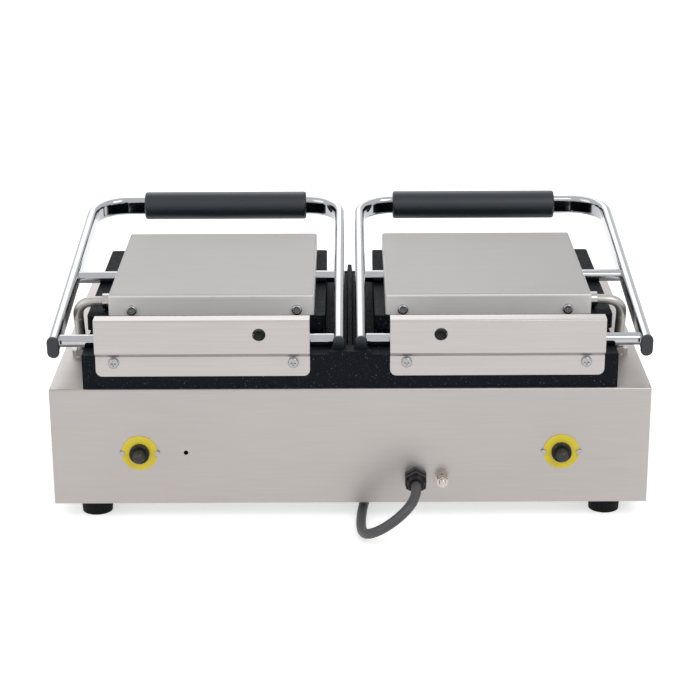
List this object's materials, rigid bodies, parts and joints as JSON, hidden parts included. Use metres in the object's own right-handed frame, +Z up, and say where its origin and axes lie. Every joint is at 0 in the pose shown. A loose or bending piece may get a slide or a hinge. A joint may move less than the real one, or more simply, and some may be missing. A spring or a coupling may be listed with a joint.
{
  "type": "double contact grill",
  "caption": "Countertop contact grill with two hinged ribbed upper plates on chrome bail handles over one ribbed lower plate in a stainless steel base.",
  "frame": {"origin": "on the floor under the middle of the grill, cord left out", "axes": "+Z up, controls and grips towards -Y, mains cord towards +Y, +X to the right of someone at the controls"},
  "size_m": [0.5696, 0.5882, 0.227],
  "materials": {
    "panel_steel": "brushed lengthwise",
    "cover_steel": "satin",
    "plain_steel": "mill",
    "tray_steel": "satin",
    "black_casting": "matte black, rough cast",
    "chrome": "polished",
    "bright_screws": "zinc plated",
    "nickel": "polished",
    "bond_brass": "nickel plated brass",
    "heater_tube": "oxidised sheath",
    "black_grip": "matte black",
    "black_plastic": "satin black",
    "white_ceramic": "glazed",
    "rocker_green": "glossy",
    "lamp_lens": "clear lens",
    "boot_rubber": "matte",
    "label_yellow": "printed film",
    "cord_rubber": "matte sheath",
    "foot_rubber": "matte"
  },
  "bodies": {
    "base": {"base_shell": "panel_steel", "bonding_terminal": "bond_brass", "bottom_plate": "plain_steel", "cable_gland": "black_plastic", "conduit_left": "nickel", "conduit_nuts": "nickel", "conduit_right": "nickel", "cord": "cord_rubber", "cord_coil": "cord_rubber", "element_clamps": "plain_steel", "foot_screws": "bright_screws", "hinge_bearings": "plain_steel", "indicator_lamps": "lamp_lens", "lower_elements": "heater_tube", "lower_plate": "black_casting", "plug": "black_plastic", "plug_pins": "bond_brass", "rear_cover_screws": "bright_screws", "rear_covers": "cover_steel", "rear_panel": "panel_steel", "reset_collars": "black_plastic", "reset_cutouts": "black_plastic", "reset_label_screws": "bright_screws", "reset_labels": "label_yellow", "rubber_feet": "foot_rubber", "spring_anchors": "plain_steel", "switch_housings": "black_plastic", "terminal_block": "white_ceramic", "thermostats": "white_ceramic", "torsion_springs": "plain_steel", "tray_rails": "plain_steel"},
    "lid_left": {"handle_tube_left": "chrome", "handle_grip_left": "black_grip", "handle_end_caps_left": "black_grip", "hinge_shaft_left": "chrome", "pivot_rod_left": "chrome"},
    "plate_left": {"upper_plate_left": "black_casting", "pivot_brackets_left": "plain_steel", "upper_element_left": "heater_tube", "top_cover_left": "cover_steel", "top_cover_screws_left": "bright_screws", "hose_fitting_left": "nickel"},
    "knob_left": {"knob_left": "black_plastic"},
    "rocker_left": {"rocker_left": "rocker_green"},
    "reset_left": {"reset_button_left": "boot_rubber"},
    "lid_right": {"handle_tube_right": "chrome", "handle_grip_right": "black_grip", "handle_end_caps_right": "black_grip", "hinge_shaft_right": "chrome", "pivot_rod_right": "chrome"},
    "plate_right": {"upper_plate_right": "black_casting", "pivot_brackets_right": "plain_steel", "upper_element_right": "heater_tube", "top_cover_right": "cover_steel", "top_cover_screws_right": "bright_screws", "hose_fitting_right": "nickel"},
    "knob_right": {"knob_right": "black_plastic"},
    "rocker_right": {"rocker_right": "rocker_green"},
    "reset_right": {"reset_button_right": "boot_rubber"},
    "tray": {"drip_tray": "tray_steel"}
  },
  "joints": [
    {"name": "lid_left", "type": "hinge", "parent": "base", "child": "lid_left", "pos_m": [-0.14, 0.1535, 0.1725], "axis": [-1, 0, 0], "range_deg": [0, 65], "deforming": ["conduit_left"]},
    {"name": "plate_tilt_left", "type": "hinge", "parent": "lid_left", "child": "plate_left", "pos_m": [-0.14, 0.00649, 0.18958], "axis": [-1, 0, 0], "range_deg": [-4, 0]},
    {"name": "thermostat_left", "type": "hinge", "parent": "base", "child": "knob_left", "pos_m": [-0.15, -0.17, 0.078], "axis": [0, 1, 0], "range_deg": [0, 270]},
    {"name": "power_switch_left", "type": "hinge", "parent": "base", "child": "rocker_left", "pos_m": [-0.24, -0.1615, 0.078], "axis": [1, 0, 0], "range_deg": [0, 16]},
    {"name": "cutout_reset_left", "type": "slide", "parent": "base", "child": "reset_left", "axis": [0, -1, 0], "range_m": [0, 0.0025], "stiffness_N_per_m": 1200},
    {"name": "lid_right", "type": "hinge", "parent": "base", "child": "lid_right", "pos_m": [0.14, 0.1535, 0.1725], "axis": [-1, 0, 0], "range_deg": [0, 65], "deforming": ["conduit_right"]},
    {"name": "plate_tilt_right", "type": "hinge", "parent": "lid_right", "child": "plate_right", "pos_m": [0.14, 0.00649, 0.18958], "axis": [-1, 0, 0], "range_deg": [-4, 0]},
    {"name": "thermostat_right", "type": "hinge", "parent": "base", "child": "knob_right", "pos_m": [0.15, -0.17, 0.078], "axis": [0, 1, 0], "range_deg": [0, 270]},
    {"name": "power_switch_right", "type": "hinge", "parent": "base", "child": "rocker_right", "pos_m": [0.24, -0.1615, 0.078], "axis": [1, 0, 0], "range_deg": [0, 16]},
    {"name": "cutout_reset_right", "type": "slide", "parent": "base", "child": "reset_right", "axis": [0, -1, 0], "range_m": [0, 0.0025], "stiffness_N_per_m": 1200},
    {"name": "tray_slide", "type": "slide", "parent": "base", "child": "tray", "axis": [0, -1, 0], "range_m": [0, 0.16]}
  ],
  "couplings": [
    {"joint": "plate_tilt_left", "follows": "lid_left", "ratio": -0.06},
    {"joint": "plate_tilt_right", "follows": "lid_right", "ratio": -0.06}
  ]
}
